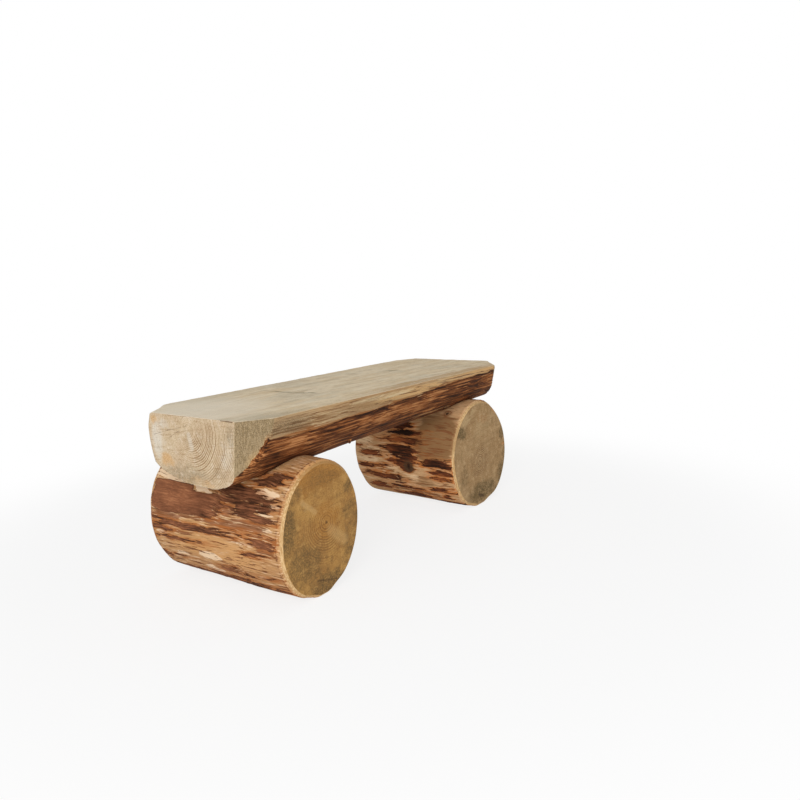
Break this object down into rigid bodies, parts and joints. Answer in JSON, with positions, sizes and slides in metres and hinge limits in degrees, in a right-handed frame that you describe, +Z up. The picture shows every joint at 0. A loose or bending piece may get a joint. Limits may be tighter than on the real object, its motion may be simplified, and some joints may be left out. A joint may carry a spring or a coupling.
{
  "type": "rustic log bench",
  "caption": "Backless bench with a flattened half-log seat scribed into saddle notches of short round leg logs lying crosswise.",
  "frame": {"origin": "centre of the bounding box on the floor plane that the feet rest on", "axes": "+X along the seat towards its thin end, -Y towards the front side that the picture shows, +Z up"},
  "size_m": [1.18, 0.463, 0.46],
  "materials": {
    "seat_wood": "sawn and hewn, weathered, bare",
    "left_leg_wood": "peeled log with inner bark left on, bare",
    "right_leg_wood": "peeled log with inner bark left on, bare",
    "zinc_steel": "zinc plated"
  },
  "bodies": {
    "root": {"seat_log": "seat_wood", "left_leg_log": "left_leg_wood", "right_leg_log": "right_leg_wood", "left_leg_front_washer": "zinc_steel", "left_leg_front_screw": "zinc_steel", "left_leg_back_washer": "zinc_steel", "left_leg_back_screw": "zinc_steel", "right_leg_front_washer": "zinc_steel", "right_leg_front_screw": "zinc_steel", "right_leg_back_washer": "zinc_steel", "right_leg_back_screw": "zinc_steel"}
  },
  "joints": []
}
